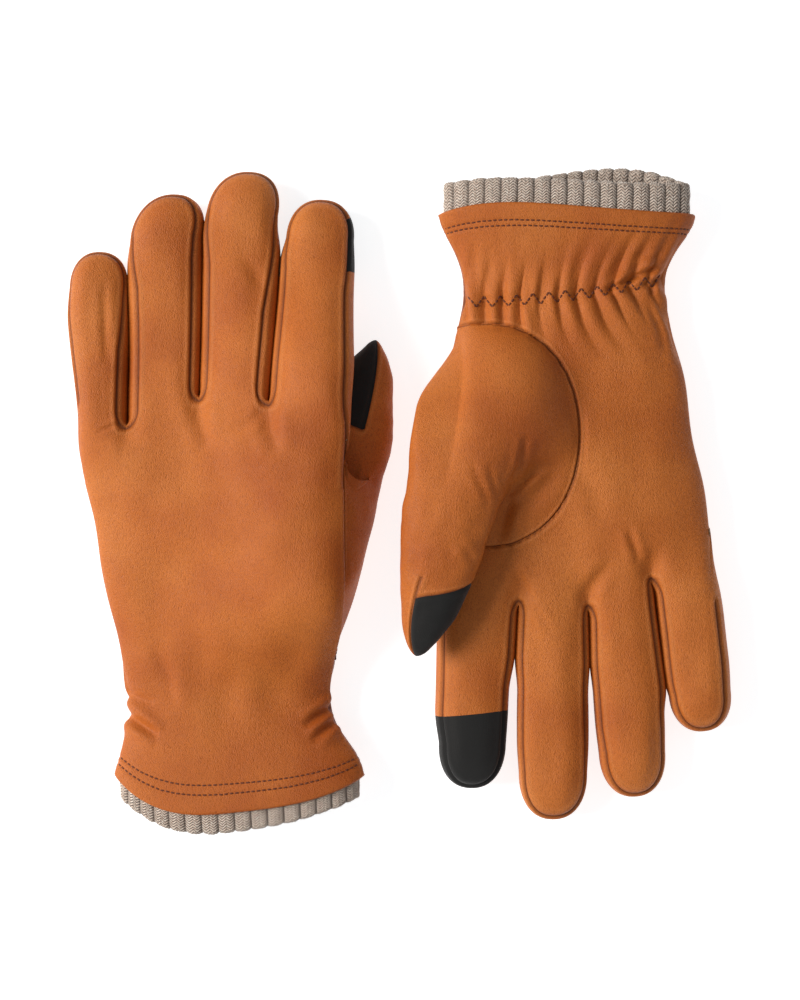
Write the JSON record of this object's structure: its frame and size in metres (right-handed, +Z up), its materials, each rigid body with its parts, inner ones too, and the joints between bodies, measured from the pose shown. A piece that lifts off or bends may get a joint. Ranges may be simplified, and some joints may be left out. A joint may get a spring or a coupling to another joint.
{
  "type": "pair of touchscreen gloves",
  "caption": "Lined leather gloves, one back up and one palm up, with rib-knit inner cuffs, gathered wrists, set-in thumbs and black cloth touch pads on index and thumb tips.",
  "frame": {"origin": "centre of the pair's bounding box, on the surface it lies on", "axes": "+X to the right seen from above with the left glove's fingers pointing away, +Y along the left glove's fingers, +Z up from the surface"},
  "size_m": [0.2641, 0.2649, 0.0378],
  "materials": {
    "leather": "smooth cognac grain leather, satin",
    "touch_cloth": "fine matt black conductive cloth",
    "knit": "melange oatmeal wool rib knit",
    "lining": "short brushed fleece",
    "thread": "dark brown sewing thread",
    "elastic": "flat woven elastic"
  },
  "bodies": {
    "left_hand": {"left_back_panel": "leather", "left_palm_panel": "leather", "left_thumb_base": "leather", "left_crotch_walls": "leather", "left_hand_lining": "lining", "left_knit_cuff": "knit", "left_wrist_elastic": "elastic", "left_hem_stitching": "thread", "left_zigzag_stitching": "thread"},
    "left_thumb": {"left_thumb_leather": "leather", "left_thumb_touch_pad": "touch_cloth", "left_thumb_lining": "lining"},
    "left_little": {"left_little_back": "leather", "left_little_palm": "leather", "left_little_fourchette": "leather", "left_little_lining": "lining"},
    "left_ring": {"left_ring_back": "leather", "left_ring_palm": "leather", "left_ring_fourchette": "leather", "left_ring_lining": "lining"},
    "left_middle": {"left_middle_back": "leather", "left_middle_palm": "leather", "left_middle_fourchette": "leather", "left_middle_lining": "lining"},
    "left_index": {"left_index_back": "leather", "left_index_palm": "leather", "left_index_fourchette": "leather", "left_index_lining": "lining", "left_index_touch_pad": "touch_cloth"},
    "right_hand": {"right_back_panel": "leather", "right_palm_panel": "leather", "right_thumb_base": "leather", "right_crotch_walls": "leather", "right_hand_lining": "lining", "right_knit_cuff": "knit", "right_wrist_elastic": "elastic", "right_hem_stitching": "thread", "right_zigzag_stitching": "thread"},
    "right_thumb": {"right_thumb_leather": "leather", "right_thumb_touch_pad": "touch_cloth", "right_thumb_lining": "lining"},
    "right_little": {"right_little_back": "leather", "right_little_palm": "leather", "right_little_fourchette": "leather", "right_little_lining": "lining"},
    "right_ring": {"right_ring_back": "leather", "right_ring_palm": "leather", "right_ring_fourchette": "leather", "right_ring_lining": "lining"},
    "right_middle": {"right_middle_back": "leather", "right_middle_palm": "leather", "right_middle_fourchette": "leather", "right_middle_lining": "lining"},
    "right_index": {"right_index_back": "leather", "right_index_palm": "leather", "right_index_fourchette": "leather", "right_index_lining": "lining", "right_index_touch_pad": "touch_cloth"}
  },
  "joints": [
    {"name": "right_glove_lift", "type": "slide", "parent": "left_hand", "child": "right_hand", "axis": [0, 0, 1], "range_m": [0, 0.15]},
    {"name": "left_little_knuckle", "type": "hinge", "parent": "left_hand", "child": "left_little", "pos_m": [-0.11937, 0.06264, 0], "axis": [-0.9996, -0.0286, 0], "range_deg": [0, 80]},
    {"name": "left_ring_knuckle", "type": "hinge", "parent": "left_hand", "child": "left_ring", "pos_m": [-0.09295, 0.07363, 0], "axis": [-0.9995, 0.0327, 0], "range_deg": [0, 80]},
    {"name": "left_middle_knuckle", "type": "hinge", "parent": "left_hand", "child": "left_middle", "pos_m": [-0.06344, 0.07857, 0.0025], "axis": [-0.9978, 0.0665, 0], "range_deg": [0, 80]},
    {"name": "left_index_knuckle", "type": "hinge", "parent": "left_hand", "child": "left_index", "pos_m": [-0.03352, 0.07161, 0.00954], "axis": [-0.9988, 0.0484, 0], "range_deg": [0, 80]},
    {"name": "left_thumb_root", "type": "hinge", "parent": "left_hand", "child": "left_thumb", "pos_m": [-0.02056, 0.01865, 0], "axis": [-0.9728, 0.2317, 0], "range_deg": [0, 50]},
    {"name": "right_little_knuckle", "type": "hinge", "parent": "right_hand", "child": "right_little", "pos_m": [0.11729, -0.05544, 0.0185], "axis": [-0.9935, -0.1135, 0], "range_deg": [0, 80]},
    {"name": "right_ring_knuckle", "type": "hinge", "parent": "right_hand", "child": "right_ring", "pos_m": [0.09035, -0.06658, 0.018], "axis": [-0.9979, -0.0642, 0], "range_deg": [0, 80]},
    {"name": "right_middle_knuckle", "type": "hinge", "parent": "right_hand", "child": "right_middle", "pos_m": [0.06161, -0.07165, 0.018], "axis": [-1, 0, 0], "range_deg": [0, 80]},
    {"name": "right_index_knuckle", "type": "hinge", "parent": "right_hand", "child": "right_index", "pos_m": [0.03118, -0.06464, 0.018], "axis": [-0.9996, 0.0267, 0], "range_deg": [0, 80]},
    {"name": "right_thumb_root", "type": "hinge", "parent": "right_hand", "child": "right_thumb", "pos_m": [0.01836, -0.01165, 0.03781], "axis": [-0.9728, 0.2317, 0], "range_deg": [0, 50]}
  ]
}
